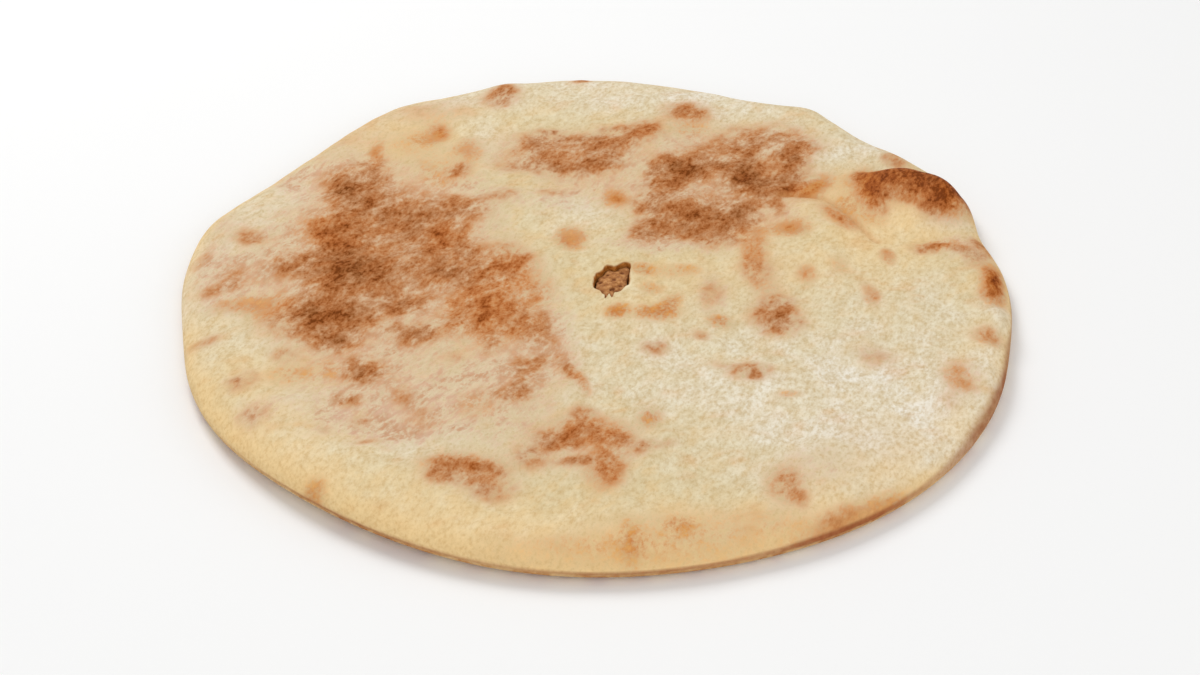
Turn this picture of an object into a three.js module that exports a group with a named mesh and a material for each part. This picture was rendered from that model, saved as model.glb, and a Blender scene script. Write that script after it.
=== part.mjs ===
// A lobiani: a round flatbread baked round a layer of bean paste, with a small vent in its top crust.
// Millimetres, +Z up. The origin is on the surface it rests on, under the middle of the bread.
// Directions are in degrees, from +X (the bread's right) towards +Y (its far side).
import * as THREE from 'three';

// The outline: a mean radius, and what it gains or loses in some directions.
// Every such row is [direction, half width in degrees, change in millimetres].
const MEAN_RADIUS = 149.2;
const OUTLINE_SWELLS = [
  [96, 26, 4.5], [120, 8, 3.4], [144, 14, -3.7], [163, 8, 3.8], [174, 8, 1.8], [190, 8, -1.0],
  [-150, 14, 1.6], [-98, 22, 1.8], [-48, 26, 3.1], [-12, 9, -1.3], [15, 6, -2.6], [26, 9, 4.8],
  [39, 3, 1.5], [56, 5, 5.5], [66, 8, -1.0],
];

// The section: a low edge, a rolled rim that rises to a shoulder, and a slow crown to the middle.
const EDGE_HEIGHT = 4.5;
const EDGE_LIFTS = [[232, 26, 2.6]];
const SHOULDER_RISE = 7.0;
const SHOULDER_LIFTS = [[232, 40, 2.0], [-25, 40, -1.6], [140, 40, 0.6]];
const CROWN_RISE = 4.0;
const ROLL_WIDTH = 17.0;
const ROLL_CHANGES = [[215, 45, 6.0], [-25, 40, -7.0], [60, 40, -3.0]];
const ROLL_POWER = 2.2;
const UNDERCUT_WIDTH = 9.0;
const UNDERCUT_CHANGES = [[232, 26, 8.0], [-40, 40, -2.0]];

// Low waves that the oven leaves in the top, each shorter and lower than the one before.
const WAVE_COUNT = 9;
const WAVE_LENGTH = 74.0;
const WAVE_SHORTENING = 0.8;
const WAVE_HEIGHT = 0.5;
const WAVE_LOWERING = 0.84;
const WAVE_TURN = 2.39996;
const WAVE_FIRST_TURN = 0.7;
const WAVE_PHASE = 1.9;

// The ear: a puffed bubble on the far right of the rim, whose crest runs along an arc.
const EAR_CENTRE = new THREE.Vector2(103.0, 28.6);
const EAR_RADIUS = 38.0;
const EAR_HEIGHT = 8.0;
const EAR_DIRECTION = 55.0;
const EAR_SPREAD = 38.0;
const EAR_INNER_SLOPE = 17.0;
const EAR_OUTER_SLOPE = 7.0;

// Smaller blisters and dents: [x, y, turn of its length, half length, half width, height].
const BLISTERS = [
  [141.0, 3.5, 80, 9.0, 5.0, 2.6],
  [142.7, -18.3, 97, 7.0, 6.0, 2.6],
  [140.0, -31.5, 0, 5.0, 4.0, -1.6],
  [-38.5, 139.0, 0, 9.0, 6.0, 2.2],
  [114.0, 85.0, -35, 8.0, 4.5, 2.4],
  [126.5, 24.0, 6, 12.0, 3.0, 1.0],
  [-6.0, 147.0, 0, 5.0, 3.0, 0.8],
];

// The vent torn in the top crust, near the middle, with the paste just below its lip.
const VENT_CENTRE = new THREE.Vector2(5.2, -3.2);
const VENT_RADIUS = 6.2;
const VENT_SWELLS = [
  [36, 12, 0.8], [60, 17, 6.0], [100, 14, 2.4], [215, 18, 1.2], [250, 12, 1.8], [258, 3.5, 3.4],
  [270, 4.5, 3.8], [288, 16, 1.8],
];
const LIP_RISE = 0.5;
const LIP_SPREAD = 2.6;
const LIP_ROUNDING = 0.9;
const LIP_DISTANCES = [4.2, 1.7, 0.5, 0];

// The crust is a shell round the paste.
const TOP_CRUST = 4.0;
const BOTTOM_CRUST = 3.2;
const SOLID_RIM = 20.0;
const PASTE_GAP = 0.3;
const PASTE_SIDE_GAP = 0.8;
const PASTE_NECK_GAP = 0.8;
const PASTE_BELOW_LIP = 1.1;
const PASTE_DOMING = 0.8;

// How finely the surfaces are divided.
const CRUST_DIRECTIONS = 120;
const PASTE_DIRECTIONS = 60;
const UNDERCUT_STEPS = 4;
const ROLL_STEPS = 7;
const TOP_STEPS = 17;
const TOP_SPACING = 1.1;
const CEILING_STEPS = 5;
const PASTE_TOP_SHARES = [0.5, 0.85, 1];

// A start value plus smooth bumps centred on some directions.
function byDirection(degrees, start, rows) {
  return rows.reduce((total, [centre, half, change]) => {
    const away = THREE.MathUtils.euclideanModulo(degrees - centre + 180, 360) - 180;
    return total + change * Math.exp(-((away / half) ** 2));
  }, start);
}

function bell(distance, half) {
  return Math.exp(-((distance / half) ** 2));
}

function directionOf(x, y) {
  return THREE.MathUtils.radToDeg(Math.atan2(y, x));
}

function outlineRadius(degrees) {
  return byDirection(degrees, MEAN_RADIUS, OUTLINE_SWELLS);
}

// The point of the plan at a radius from a centre, in a direction.
function planPoint(degrees, radius, centre = new THREE.Vector2()) {
  const angle = THREE.MathUtils.degToRad(degrees);
  return new THREE.Vector2(Math.cos(angle), Math.sin(angle)).multiplyScalar(radius).add(centre);
}

function outlinePoint(degrees) {
  return planPoint(degrees, outlineRadius(degrees));
}

function ventPoint(degrees, inset = 0) {
  return planPoint(degrees, byDirection(degrees, VENT_RADIUS, VENT_SWELLS) - inset, VENT_CENTRE);
}

// The sum of the cosine waves at a place.
function undulation(x, y) {
  let total = 0;
  for (let k = 0; k < WAVE_COUNT; k += 1) {
    const turn = WAVE_TURN * k + WAVE_FIRST_TURN;
    const along = x * Math.cos(turn) + y * Math.sin(turn);
    const length = WAVE_LENGTH * WAVE_SHORTENING ** k;
    const height = WAVE_HEIGHT * WAVE_LOWERING ** k;
    total += height * Math.cos((2 * Math.PI * along) / length + WAVE_PHASE * k * k);
  }
  return total;
}

// The ear falls away slowly inside its crest and steeply outside it.
function earHeight(x, y) {
  const dx = x - EAR_CENTRE.x;
  const dy = y - EAR_CENTRE.y;
  const beyond = Math.hypot(dx, dy) - EAR_RADIUS;
  const turn = THREE.MathUtils.euclideanModulo(directionOf(dx, dy) - EAR_DIRECTION + 180, 360) - 180;
  const along = Math.exp(-((turn / EAR_SPREAD) ** 4));
  return EAR_HEIGHT * along * bell(beyond, beyond < 0 ? EAR_INNER_SLOPE : EAR_OUTER_SLOPE);
}

function blisterHeight(x, y) {
  return BLISTERS.reduce((total, [centreX, centreY, turn, halfLength, halfWidth, height]) => {
    const angle = THREE.MathUtils.degToRad(turn);
    const along = (x - centreX) * Math.cos(angle) + (y - centreY) * Math.sin(angle);
    const across = (y - centreY) * Math.cos(angle) - (x - centreX) * Math.sin(angle);
    return total + height * bell(along, halfLength) * bell(across, halfWidth);
  }, 0);
}

// How far a place lies from the middle, squared, where the outline is at 1.
function outwardness(x, y) {
  return Math.min(Math.hypot(x, y) / outlineRadius(directionOf(x, y)), 1) ** 2;
}

// The top crust: the edge, plus the rim's roll times all that rises from it, plus the crown.
// What the rim gains in some directions fades out towards the middle.
function topHeight(x, y) {
  const degrees = directionOf(x, y);
  const outward = outwardness(x, y);
  const roll = byDirection(degrees, ROLL_WIDTH, ROLL_CHANGES);
  const into = THREE.MathUtils.clamp((Math.hypot(x, y) - outlineRadius(degrees) + roll) / roll, 0, 1);
  const cover = Math.sqrt(1 - into ** ROLL_POWER);
  const edge = EDGE_HEIGHT + outward * byDirection(degrees, 0, EDGE_LIFTS);
  const rise = SHOULDER_RISE + outward * byDirection(degrees, 0, SHOULDER_LIFTS);
  const relief = undulation(x, y) + earHeight(x, y) + blisterHeight(x, y);
  return edge + cover * (rise + relief) + CROWN_RISE * (1 - outward);
}

// The lip stands up a little round the vent and is rounded over at its edge.
function lipHeight(distance) {
  const near = Math.max(1 - distance / LIP_ROUNDING, 0);
  return LIP_RISE * bell(distance, LIP_SPREAD) - LIP_ROUNDING * (1 - Math.sqrt(1 - near ** 2));
}

function ceilingHeight(x, y) {
  return EDGE_HEIGHT + SHOULDER_RISE + CROWN_RISE * (1 - outwardness(x, y)) - TOP_CRUST;
}

// The outside, from the flat foot out to the edge and back over the top to the vent.
function crustOutside(degrees) {
  const edge = outlineRadius(degrees);
  const edgeHeight = byDirection(degrees, EDGE_HEIGHT, EDGE_LIFTS);
  const undercut = byDirection(degrees, UNDERCUT_WIDTH, UNDERCUT_CHANGES);
  const points = [];
  for (let k = 0; k < UNDERCUT_STEPS; k += 1) {
    const turn = (Math.PI / 2) * (k / UNDERCUT_STEPS);
    const place = planPoint(degrees, edge - undercut * (1 - Math.sin(turn)));
    points.push([place.x, place.y, edgeHeight * (1 - Math.cos(turn))]);
  }
  const outer = outlinePoint(degrees);
  const inner = ventPoint(degrees);
  const reach = outer.distanceTo(inner);
  const rollShare = byDirection(degrees, ROLL_WIDTH, ROLL_CHANGES) / edge;
  const lipShare = LIP_DISTANCES[0] / reach;
  const shares = [];
  for (let k = 0; k < ROLL_STEPS; k += 1) {
    shares.push(1 - rollShare * (1 - Math.cos((Math.PI / 2) * (k / ROLL_STEPS))));
  }
  for (let k = TOP_STEPS; k > 0; k -= 1) {
    shares.push(lipShare + (1 - rollShare - lipShare) * (k / TOP_STEPS) ** TOP_SPACING);
  }
  shares.push(...LIP_DISTANCES.map((distance) => distance / reach));
  for (const share of shares) {
    const place = inner.clone().lerp(outer, share);
    const height = topHeight(place.x, place.y) + lipHeight(share * reach);
    points.push([place.x, place.y, height]);
  }
  return points;
}

// The inside, from the vent's wall out under the top crust and back along the bottom crust.
function crustInside(degrees) {
  const inner = ventPoint(degrees);
  const outer = planPoint(degrees, outlineRadius(degrees) - SOLID_RIM);
  const points = [];
  for (let k = 0; k <= CEILING_STEPS; k += 1) {
    const place = inner.clone().lerp(outer, k / CEILING_STEPS);
    points.push([place.x, place.y, ceilingHeight(place.x, place.y)]);
  }
  points.push([outer.x, outer.y, BOTTOM_CRUST]);
  return points;
}

// The paste: up in the vent, down its neck, out under the top crust, and back along the bottom.
function pasteSection(degrees) {
  const neck = ventPoint(degrees, PASTE_NECK_GAP);
  const outer = planPoint(degrees, outlineRadius(degrees) - SOLID_RIM - PASTE_SIDE_GAP);
  const points = [];
  for (const share of PASTE_TOP_SHARES) {
    const place = VENT_CENTRE.clone().lerp(neck, share);
    const depth = PASTE_BELOW_LIP + PASTE_DOMING * share ** 2;
    points.push([place.x, place.y, topHeight(place.x, place.y) - depth]);
  }
  for (let k = 0; k <= CEILING_STEPS; k += 1) {
    const place = neck.clone().lerp(outer, k / CEILING_STEPS);
    points.push([place.x, place.y, ceilingHeight(place.x, place.y) - PASTE_GAP]);
  }
  points.push([outer.x, outer.y, BOTTOM_CRUST + PASTE_GAP]);
  return points;
}

// A closed skin: one section for each direction, with a pole at each end of the sections.
// Its faces point outwards when the sections start at the solid's underside and run outwards.
function closedSkin(firstPole, sections, lastPole) {
  const count = sections.length;
  const length = sections[0].length;
  const positions = [firstPole, ...sections.flat(), lastPole].flat();
  const last = 1 + count * length;
  const faces = [];
  for (let j = 0; j < count; j += 1) {
    const here = 1 + j * length;
    const next = 1 + ((j + 1) % count) * length;
    faces.push(0, next, here);
    for (let i = 0; i < length - 1; i += 1) {
      faces.push(here + i, next + i, next + i + 1);
      faces.push(here + i, next + i + 1, here + i + 1);
    }
    faces.push(here + length - 1, next + length - 1, last);
  }
  const geometry = new THREE.BufferGeometry();
  geometry.setAttribute('position', new THREE.Float32BufferAttribute(positions, 3));
  geometry.setIndex(faces);
  geometry.translate(-middle.x, -middle.y, 0);
  geometry.computeVertexNormals();
  return geometry;
}

function directions(count) {
  return Array.from({ length: count }, (unused, j) => (360 * j) / count);
}

// The outline isn't quite round, so its middle is found, and the solids are moved to stand on it.
const edgeBox = new THREE.Box2().setFromPoints(directions(CRUST_DIRECTIONS).map(outlinePoint));
const middle = edgeBox.getCenter(new THREE.Vector2());

function makeCrust() {
  const sections = directions(CRUST_DIRECTIONS).map((degrees) => (
    [...crustOutside(degrees), ...crustInside(degrees)]
  ));
  const material = new THREE.MeshStandardMaterial({ color: 0xdcc9a2, roughness: 0.85, metalness: 0 });
  const mesh = new THREE.Mesh(closedSkin([0, 0, 0], sections, [0, 0, BOTTOM_CRUST]), material);
  mesh.name = 'dough';
  return mesh;
}

function makePaste() {
  const { x, y } = VENT_CENTRE;
  const crest = [x, y, topHeight(x, y) - PASTE_BELOW_LIP];
  const sections = directions(PASTE_DIRECTIONS).map((degrees) => pasteSection(degrees).reverse());
  const material = new THREE.MeshStandardMaterial({ color: 0xa87243, roughness: 0.9, metalness: 0 });
  const mesh = new THREE.Mesh(closedSkin([0, 0, BOTTOM_CRUST + PASTE_GAP], sections, crest), material);
  mesh.name = 'bean_filling';
  return mesh;
}

const lobiani = new THREE.Group();
lobiani.add(makeCrust(), makePaste());

export default lobiani;
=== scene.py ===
"""The looks of a lobiani: a round flatbread baked round bean paste, with a small vent in its top.

Plan places are in millimetres from the middle of the outline's circle, +X to the bread's right and
+Y to its far side. Directions are in degrees from +X towards +Y. The meshes are put into metres and
moved onto the frame's origin at the end.
"""

import math

import bpy
import numpy as np
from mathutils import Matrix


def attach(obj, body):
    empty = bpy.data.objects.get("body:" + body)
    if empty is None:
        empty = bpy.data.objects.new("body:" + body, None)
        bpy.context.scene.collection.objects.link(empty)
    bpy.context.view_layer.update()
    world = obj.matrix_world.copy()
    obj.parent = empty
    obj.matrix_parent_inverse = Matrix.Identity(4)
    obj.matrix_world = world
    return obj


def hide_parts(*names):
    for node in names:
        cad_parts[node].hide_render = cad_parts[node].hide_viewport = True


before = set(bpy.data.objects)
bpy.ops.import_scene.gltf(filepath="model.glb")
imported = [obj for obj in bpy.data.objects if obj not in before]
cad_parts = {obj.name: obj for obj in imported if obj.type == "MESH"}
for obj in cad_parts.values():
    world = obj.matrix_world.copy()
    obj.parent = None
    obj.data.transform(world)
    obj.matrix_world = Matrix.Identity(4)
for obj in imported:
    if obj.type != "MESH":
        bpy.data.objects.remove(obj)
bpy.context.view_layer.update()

MILLIMETRE = 0.001

# The bread's sizes. Rows by direction are (direction, half width in degrees, change in millimetres).
MEAN_RADIUS = 149.2
OUTLINE_SWELLS = (
    (96, 26, 4.5), (120, 8, 3.4), (144, 14, -3.7), (163, 8, 3.8), (174, 8, 1.8), (190, 8, -1.0),
    (-150, 14, 1.6), (-98, 22, 1.8), (-48, 26, 3.1), (-12, 9, -1.3), (15, 6, -2.6), (26, 9, 4.8),
    (39, 3, 1.5), (56, 5, 5.5), (66, 8, -1.0),
)
EDGE_HEIGHT = 4.5
EDGE_LIFTS = ((232, 26, 2.6),)
SHOULDER_RISE = 7.0
SHOULDER_LIFTS = ((232, 40, 2.0), (-25, 40, -1.6), (140, 40, 0.6))
CROWN_RISE = 4.0
ROLL_WIDTH = 17.0
ROLL_CHANGES = ((215, 45, 6.0), (-25, 40, -7.0), (60, 40, -3.0))
ROLL_POWER = 2.2
UNDERCUT_WIDTH = 9.0
UNDERCUT_CHANGES = ((232, 26, 8.0), (-40, 40, -2.0))

# Low waves that the oven leaves in the top, each shorter and lower than the one before.
WAVE_COUNT = 9
WAVE_LENGTH = 74.0
WAVE_SHORTENING = 0.8
WAVE_HEIGHT = 0.5
WAVE_LOWERING = 0.84
WAVE_TURN = 2.39996
WAVE_FIRST_TURN = 0.7
WAVE_PHASE = 1.9

# The puffed ear on the far right of the rim: its crest runs along an arc round this centre.
EAR_CENTRE = (103.0, 28.6)
EAR_RADIUS = 38.0
EAR_HEIGHT = 8.0
EAR_DIRECTION = 55.0
EAR_SPREAD = 38.0
EAR_INNER_SLOPE = 17.0
EAR_OUTER_SLOPE = 7.0

# Blisters and dents: (x, y, turn of its length, half length, half width, height).
BLISTERS = (
    (141.0, 3.5, 80, 9.0, 5.0, 2.6), (142.7, -18.3, 97, 7.0, 6.0, 2.6),
    (140.0, -31.5, 0, 5.0, 4.0, -1.6), (-38.5, 139.0, 0, 9.0, 6.0, 2.2),
    (114.0, 85.0, -35, 8.0, 4.5, 2.4), (126.5, 24.0, 6, 12.0, 3.0, 1.0),
    (-6.0, 147.0, 0, 5.0, 3.0, 0.8),
)

# The vent in the top crust, with the paste just below its lip.
VENT_CENTRE = (5.2, -3.2)
VENT_RADIUS = 6.2
VENT_SWELLS = (
    (36, 12, 0.8), (60, 17, 6.0), (100, 14, 2.4), (215, 18, 1.2), (250, 12, 1.8), (258, 3.5, 3.4),
    (270, 4.5, 3.8), (288, 16, 1.8),
)
LIP_RISE = 0.5
LIP_SPREAD = 2.6
LIP_ROUNDING = 0.9

# The crust is a shell round the paste.
TOP_CRUST = 4.0
BOTTOM_CRUST = 3.2
SOLID_RIM = 20.0
PASTE_GAP = 0.3
PASTE_SIDE_GAP = 0.8
PASTE_NECK_GAP = 0.8
PASTE_BELOW_LIP = 0.7
PASTE_DOMING = 0.8

# How finely the surfaces are divided, and how finely the solids' outline is.
CRUST_DIRECTIONS = 560
UNDERSIDE_STEPS = 22
UNDERCUT_STEPS = 6
ROLL_STEPS = 20
TOP_STEPS = 106
TOP_SPACING = 0.88
LIP_DISTANCES = (4.2, 3.0, 2.1, 1.4, 0.9, 0.55, 0.25, 0.08, 0.0)
WALL_STEPS = 4
CEILING_STEPS = 5
PASTE_DIRECTIONS = 260
PASTE_TOP_STEPS = 44
PASTE_DISC_STEPS = 8
SOLID_DIRECTIONS = 120

# Clouds: the corners of their random grid, its turn at the first and each next octave, and its shift.
CLOUD_CORNERS = 256
CLOUD_FIRST_TURN = 0.5
CLOUD_NEXT_TURN = 1.1
CLOUD_SHIFT = (7.3, 3.9)


def bell(distance, half):
    """exp(-(distance / half)^2)."""
    return np.exp(-((distance / half) ** 2))


def smooth_step(low, high, value):
    """0 below low, 1 above high, and 3t^2 - 2t^3 between, t being the share of the way."""
    share = np.clip((value - low) / (high - low), 0, 1)
    return share * share * (3 - 2 * share)


def by_direction(degrees, start, rows):
    """A start value plus, for every row, its change times the bell of the turn from its direction."""
    total = np.full(np.shape(degrees), float(start))
    for centre, half, change in rows:
        total += change * bell((degrees - centre + 180) % 360 - 180, half)
    return total


def direction_of(x, y):
    """The direction from the middle to a place, in degrees."""
    return np.degrees(np.arctan2(y, x))


def outline_radius(degrees):
    """The mean radius with the outline's swells."""
    return by_direction(degrees, MEAN_RADIUS, OUTLINE_SWELLS)


def clouds(x, y, size, seed, octaves=3):
    """Smooth noise from -1 to 1: random corner values blended smoothly over a turned grid.

    Each octave has half the size and half the weight of the one before.
    """
    total = 0.0
    weights = 0.0
    for octave in range(octaves):
        corners = np.random.default_rng(seed + octave).uniform(-1, 1, (CLOUD_CORNERS, CLOUD_CORNERS))
        turn = CLOUD_FIRST_TURN + CLOUD_NEXT_TURN * octave
        scale = 2.0 ** octave / size
        along = (x * np.cos(turn) - y * np.sin(turn)) * scale + CLOUD_SHIFT[0]
        across = (x * np.sin(turn) + y * np.cos(turn)) * scale + CLOUD_SHIFT[1]
        column = np.floor(along).astype(int)
        row = np.floor(across).astype(int)
        rightward = smooth_step(0, 1, along - column)
        farward = smooth_step(0, 1, across - row)
        left, right = column % CLOUD_CORNERS, (column + 1) % CLOUD_CORNERS
        near, far = row % CLOUD_CORNERS, (row + 1) % CLOUD_CORNERS
        near_value = corners[left, near] * (1 - rightward) + corners[right, near] * rightward
        far_value = corners[left, far] * (1 - rightward) + corners[right, far] * rightward
        total = total + 0.5 ** octave * (near_value * (1 - farward) + far_value * farward)
        weights += 0.5 ** octave
    return total / weights


def undulation(x, y):
    """The sum of cosine waves, each turned, shortened and lowered from the one before."""
    total = 0.0
    for k in range(WAVE_COUNT):
        turn = WAVE_TURN * k + WAVE_FIRST_TURN
        along = x * math.cos(turn) + y * math.sin(turn)
        length = WAVE_LENGTH * WAVE_SHORTENING ** k
        height = WAVE_HEIGHT * WAVE_LOWERING ** k
        total = total + height * np.cos(2 * math.pi * along / length + WAVE_PHASE * k * k)
    return total


def ear_height(x, y):
    """A ridge along an arc: exp(-turn^4) along it, and a bell across it that is steeper outside."""
    dx, dy = x - EAR_CENTRE[0], y - EAR_CENTRE[1]
    beyond = np.hypot(dx, dy) - EAR_RADIUS
    turn = (direction_of(dx, dy) - EAR_DIRECTION + 180) % 360 - 180
    along = np.exp(-((turn / EAR_SPREAD) ** 4))
    return EAR_HEIGHT * along * bell(beyond, np.where(beyond < 0, EAR_INNER_SLOPE, EAR_OUTER_SLOPE))


def turned(x, y, centre_x, centre_y, degrees):
    """The place's distances along and across a length that is turned by some degrees."""
    cosine, sine = math.cos(math.radians(degrees)), math.sin(math.radians(degrees))
    dx, dy = x - centre_x, y - centre_y
    return dx * cosine + dy * sine, dy * cosine - dx * sine


def blister_height(x, y):
    """The sum of the blisters, each its height times a bell along and a bell across."""
    total = np.zeros(np.shape(x))
    for centre_x, centre_y, turn, half_length, half_width, height in BLISTERS:
        along, across = turned(x, y, centre_x, centre_y, turn)
        total += height * bell(along, half_length) * bell(across, half_width)
    return total


def outwardness(x, y):
    """The square of the share of the way from the middle to the outline."""
    return np.minimum(np.hypot(x, y) / outline_radius(direction_of(x, y)), 1) ** 2


def rolled_share(x, y):
    """0 inside the rim's roll, rising to 1 at the outline."""
    degrees = direction_of(x, y)
    roll = by_direction(degrees, ROLL_WIDTH, ROLL_CHANGES)
    return np.clip((np.hypot(x, y) - outline_radius(degrees) + roll) / roll, 0, 1)


def top_height(x, y, relief=0.0):
    """The edge, plus the roll's quarter curve times all that rises from it, plus the crown."""
    degrees = direction_of(x, y)
    outward = outwardness(x, y)
    cover = np.sqrt(1 - rolled_share(x, y) ** ROLL_POWER)
    edge = EDGE_HEIGHT + outward * by_direction(degrees, 0, EDGE_LIFTS)
    rise = SHOULDER_RISE + outward * by_direction(degrees, 0, SHOULDER_LIFTS)
    waves = undulation(x, y) + ear_height(x, y) + blister_height(x, y)
    return edge + cover * (rise + waves + relief) + CROWN_RISE * (1 - outward)


def ceiling_height(x, y):
    """The underside of the top crust: the plain shoulder and crown less the crust's thickness."""
    return EDGE_HEIGHT + SHOULDER_RISE + CROWN_RISE * (1 - outwardness(x, y)) - TOP_CRUST


def lip_height(distance):
    """A low bell round the vent, rounded over at its very edge by a quarter circle."""
    near = np.maximum(1 - distance / LIP_ROUNDING, 0)
    return LIP_RISE * bell(distance, LIP_SPREAD) - LIP_ROUNDING * (1 - np.sqrt(1 - near ** 2))


# The browned places. Rows of coloured places are (x, y, half length, half width, turn, strength).
LEFT_PATCH = (
    (-89, 62, 13, 12, 0, 0.40), (-88, 40, 16, 12, 0, 0.38), (-66, 45, 14, 13, 0, 0.34),
    (-92, 12, 14, 18, 0, 0.42), (-57, 22, 12, 14, 0, 0.40), (-72, 20, 9, 15, 0, 0.20),
    (-92, -10, 12, 11, 0, 0.34), (-98, -27, 13, 11, -10, 0.48), (-70, -14, 11, 8, 10, 0.40),
    (-58, 2, 13, 8, 0, 0.40), (-93, 61, 7, 7, 20, 0.54), (-88, 52, 8, 4, -20, 0.26),
    (-98, 31, 8, 5, 0, 0.42), (-93, 40, 5, 8, 0, 0.22), (-74, 40, 7, 4, -20, 0.24),
    (-69, 32, 4, 7, 0, 0.24), (-55, 28, 6, 6, 0, 0.36), (-50, 18, 5, 6, 0, 0.25),
    (-60, 40, 5, 5, 0, 0.20), (-88, 8, 8, 9, 0, 0.54), (-96, 14, 7, 8, 0, 0.26),
    (-84, 0, 7, 6, 0, 0.34), (-92, -3, 8, 6, 0, 0.14), (-112, 9, 7, 6, 20, 0.40),
    (-105, 4, 6, 5, 0, 0.24), (-104, -20, 7, 6, 0, 0.32), (-96, -26, 9, 6, 0, 0.34),
    (-91, -39, 6, 5, 10, 0.72), (-86, -22, 6, 6, 0, 0.34), (-116, -22, 4, 6, 10, 0.14),
    (-70, -18, 7, 4, 20, 0.34), (-54, 4, 6, 4, 0, 0.28), (-52, 46, 7, 7, 0, 0.34),
    (-43, 42, 6, 7, 0, 0.28), (-87, 79, 6, 5, 0, 0.34), (-96, 25, 7, 8, 0, 0.36),
    (-76, 3, 6, 6, 0, 0.30), (-47, 13, 8, 5, 0, 0.26), (-86, -27, 7, 6, 0, 0.28),
    (-90, 2, 6, 6, 0, 0.26), (-75, -6, 4, 4, 0, 0.26), (-112, -14, 6, 5, 0, 0.24),
    (-84, 71, 5, 5, 0, 0.22), (-61, 14, 4, 5, 0, 0.18), (-100, 72, 7, 5, 0, 0.20),
)
MIDDLE_ARM = (
    (-31, 9, 7, 11, 0, 0.46), (-34, 6, 6, 4, 0, 0.30), (-44, 0, 8, 7, 0, 0.42),
    (-38, -14, 12, 11, 0, 0.40), (-37, -28, 12, 9, 0, 0.42), (-45, -20, 5, 8, 0, 0.22),
    (-39, -27, 5, 8, 0, 0.12), (-28, -26, 5, 7, 0, 0.26), (-22, -7, 4, 7, 0, 0.26),
    (-37, -41, 3, 6, -10, 0.36), (-49, -31, 4, 6, 0, 0.16), (-19, -27, 3, 6, 0, 0.25),
)
NEAR_LEFT_SPOTS = (
    (-62, -37, 7, 5, 25, 0.54), (-70, -32, 5, 4, 0, 0.22), (-79, -58, 6, 6, 0, 0.58),
    (-84, -53, 3, 4, 20, 0.18), (-84, -73, 5, 3, 0, 0.44), (-78, -85, 4, 3, 30, 0.38),
    (-58, -84, 6, 5, 0, 0.26), (-65, -73, 4, 7, 40, 0.26), (-90, -90, 3, 3, 0, 0.28),
    (-74, -95, 6, 2, 20, 0.26), (-25, -54, 6, 7, 0, 0.22), (-26, -54, 3, 5, 0, 0.12),
    (-25, -66, 4, 7, 0, 0.30), (-29, -72, 6, 4, -10, 0.34), (-8, -58, 2.5, 8, 25, 0.36),
    (-4, -65, 2, 4, 10, 0.30), (-40, -76, 6, 7, 0, 0.22), (-107, -46, 5, 3, -20, 0.30),
    (-121, -60, 5, 6, -20, 0.42), (-115, -80, 5, 6, 0, 0.34), (-50, -50, 4, 3, 0, 0.18),
    (-16, -36, 5, 8, 20, 0.22), (-9, -50, 4, 8, 20, 0.18), (-18, -50, 4, 6, 0, 0.26),
)
NEAR_MIDDLE_PATCHES = (
    (-4, -80, 3.5, 5, 0, 0.28), (-4, -89, 8, 7, 0, 0.38), (-14, -94, 7, 5, 20, 0.40),
    (7, -94, 6, 6, 0, 0.34), (-3, -91, 4, 5, 0, 0.14), (17, -98, 4, 3, 30, 0.40),
    (24, -97, 4, 2, 20, 0.30), (-22, -104, 5, 5, 0, 0.36), (-6, -106, 7, 2.5, 5, 0.40),
    (3, -105, 4, 5, 20, 0.36), (4, -113, 5, 5, 20, 0.46), (10, -106, 3, 5, 0, 0.12),
    (-44, -107.5, 9, 3, -8, 0.48), (-50, -112, 4, 5, -35, 0.36), (-36, -109, 6, 3, -28, 0.34),
    (-43, -113, 8, 4, 0, 0.34), (-34, -120, 8, 6, 0, 0.32),
)
FAR_MIDDLE_PATCH = (
    (-12, 88, 19, 13, 0, 0.30), (-23, 97, 5, 6, 0, 0.18), (-27, 88, 4, 6, 0, 0.16),
    (-18, 103, 4, 3, 0, 0.32), (-4, 76, 9, 4, 5, 0.54), (-19, 77, 7, 4, 0, 0.40),
    (3, 87, 4, 8, 10, 0.34), (6, 81, 3, 4, 0, 0.16), (-3, 98, 5, 4, 0, 0.34),
    (-14, 100, 4, 3, 0, 0.28), (5, 104, 5, 3, 0, 0.34), (17, 103, 9, 7, 20, 0.38),
    (21, 104, 5, 6, 0, 0.20), (11, 95, 5, 6, 0, 0.34), (-33, 77, 6, 5, 0, 0.18),
)
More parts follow.
